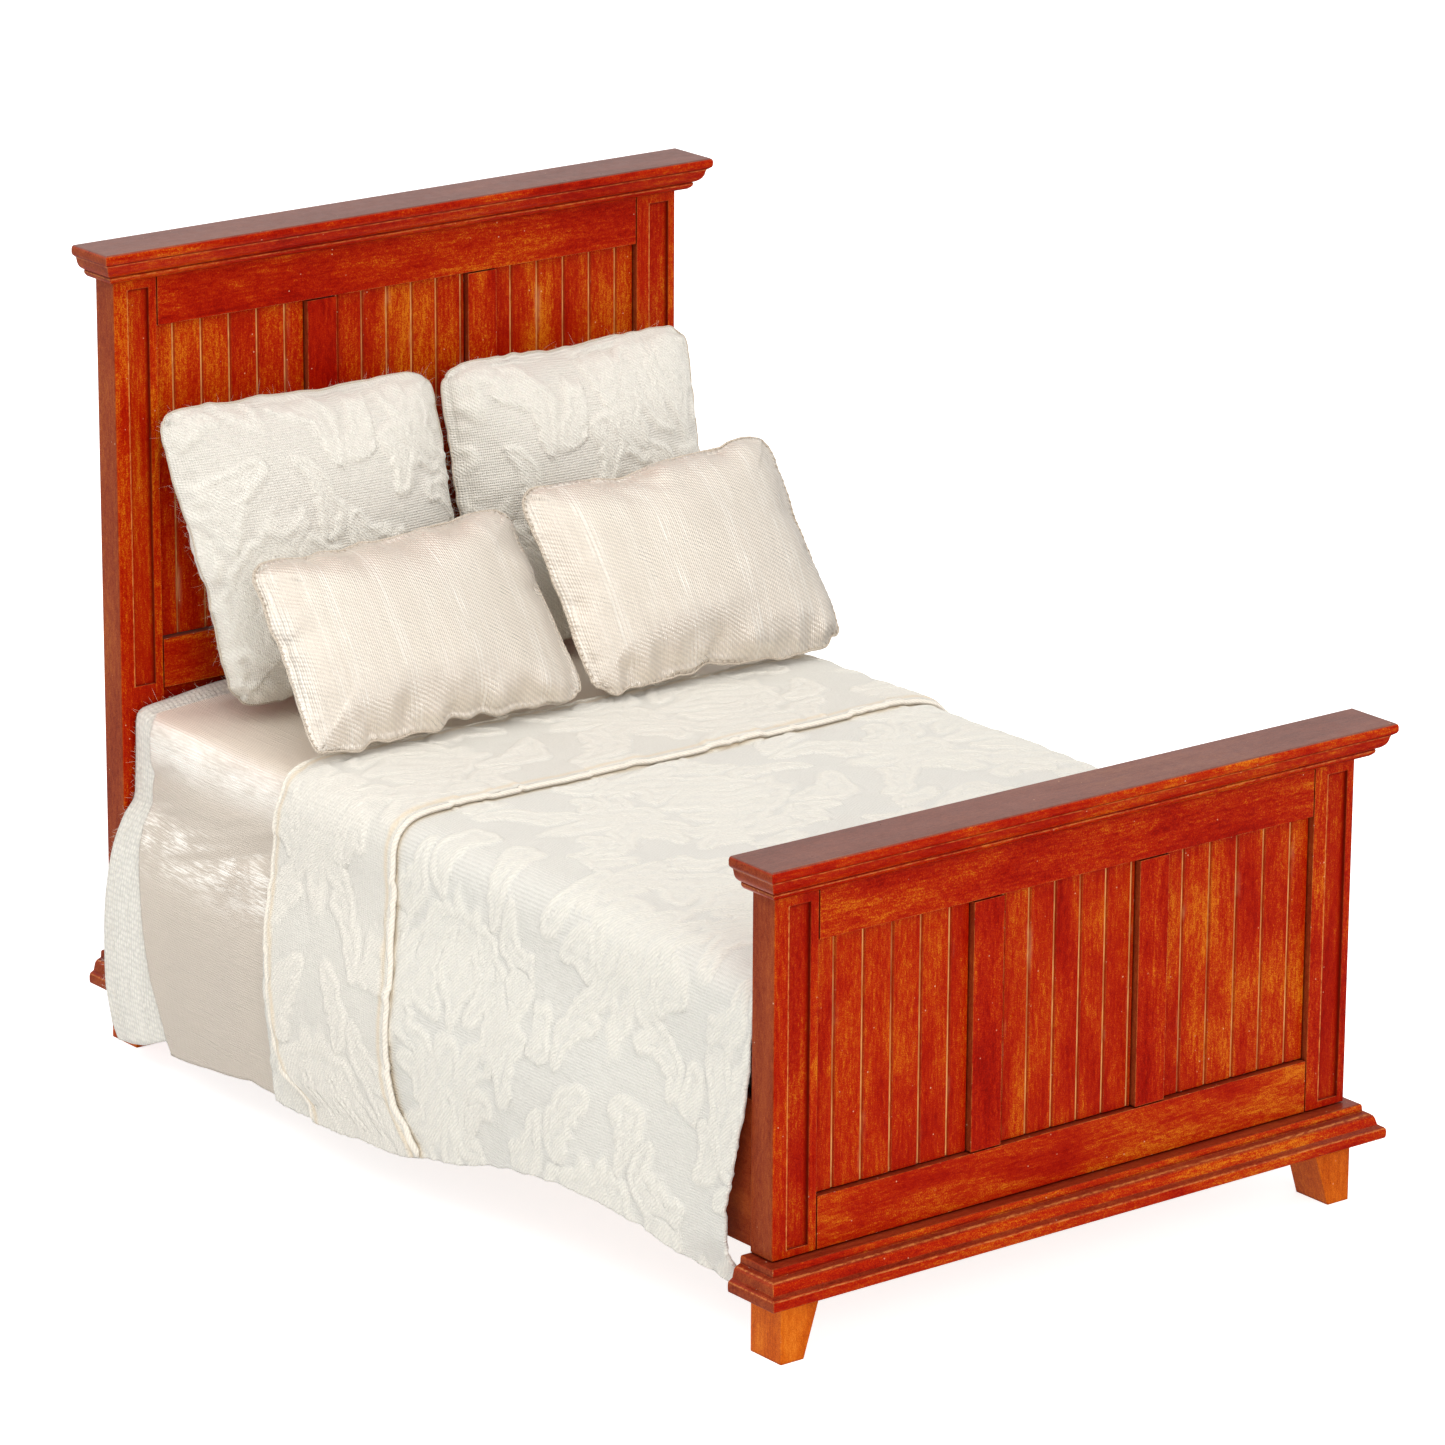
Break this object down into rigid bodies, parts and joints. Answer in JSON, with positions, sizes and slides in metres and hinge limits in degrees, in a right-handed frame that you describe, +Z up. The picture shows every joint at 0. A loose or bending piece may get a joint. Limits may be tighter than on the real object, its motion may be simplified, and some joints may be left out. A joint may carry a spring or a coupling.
{
  "type": "miniature panel bed",
  "caption": "Dolls-house double bed with beadboard panelled head and foot boards, moulded crowns and plinths, draped bedding and loose leaning pillows.",
  "frame": {"origin": "on the floor, under the middle of the bed's overall box", "axes": "+Y from the footboard to the headboard, +X across the bed to the right of someone standing at the foot and facing the headboard, +Z up"},
  "size_m": [0.1308, 0.184, 0.1361],
  "materials": {
    "stained_wood": "cherry stain under glossy lacquer",
    "amber_wood": "lighter amber stain under glossy lacquer",
    "bare_wood": "unfinished",
    "ticking": "plain weave over foam",
    "terry": "fuzzy knit",
    "satin": "satin twill with a soft sheen",
    "brocade": "woven scroll pattern, matt and satin"
  },
  "bodies": {
    "frame": {"head_post_left": "stained_wood", "head_post_right": "stained_wood", "head_top_rail": "stained_wood", "head_bottom_rail": "stained_wood", "head_mullion_left": "stained_wood", "head_mullion_right": "stained_wood", "head_panel_left": "stained_wood", "head_panel_centre": "stained_wood", "head_panel_right": "stained_wood", "head_crown": "stained_wood", "head_plinth": "stained_wood", "head_foot_left": "amber_wood", "head_foot_right": "amber_wood", "head_lower_board": "stained_wood", "foot_post_left": "stained_wood", "foot_post_right": "stained_wood", "foot_top_rail": "stained_wood", "foot_bottom_rail": "stained_wood", "foot_mullion_left": "stained_wood", "foot_mullion_right": "stained_wood", "foot_panel_left": "stained_wood", "foot_panel_centre": "stained_wood", "foot_panel_right": "stained_wood", "foot_crown": "stained_wood", "foot_plinth": "stained_wood", "foot_foot_left": "amber_wood", "foot_foot_right": "amber_wood", "side_rail_left": "stained_wood", "side_rail_right": "stained_wood", "cleat_left": "bare_wood", "cleat_right": "bare_wood", "bed_board": "bare_wood"},
    "bedding": {"mattress": "ticking", "terry_blanket": "terry", "satin_sheet": "satin", "coverlet": "brocade", "coverlet_cuff": "brocade"},
    "euro_left": {"euro_pillow_left": "brocade"},
    "euro_right": {"euro_pillow_right": "brocade"},
    "satin_left": {"satin_pillow_left": "satin"},
    "satin_right": {"satin_pillow_right": "satin"}
  },
  "joints": [
    {"name": "bedding_lift", "type": "slide", "parent": "frame", "child": "bedding", "axis": [0, 0, 1], "range_m": [0, 0.018]},
    {"name": "euro_left_lift", "type": "slide", "parent": "bedding", "child": "euro_left", "axis": [0, -0.6, 0.8], "range_m": [0, 0.04]},
    {"name": "euro_right_lift", "type": "slide", "parent": "bedding", "child": "euro_right", "axis": [0, -0.6, 0.8], "range_m": [0, 0.04]},
    {"name": "satin_left_lift", "type": "slide", "parent": "euro_left", "child": "satin_left", "axis": [0, -0.6, 0.8], "range_m": [0, 0.045]},
    {"name": "satin_right_lift", "type": "slide", "parent": "euro_right", "child": "satin_right", "axis": [0, -0.6, 0.8], "range_m": [0, 0.045]}
  ]
}
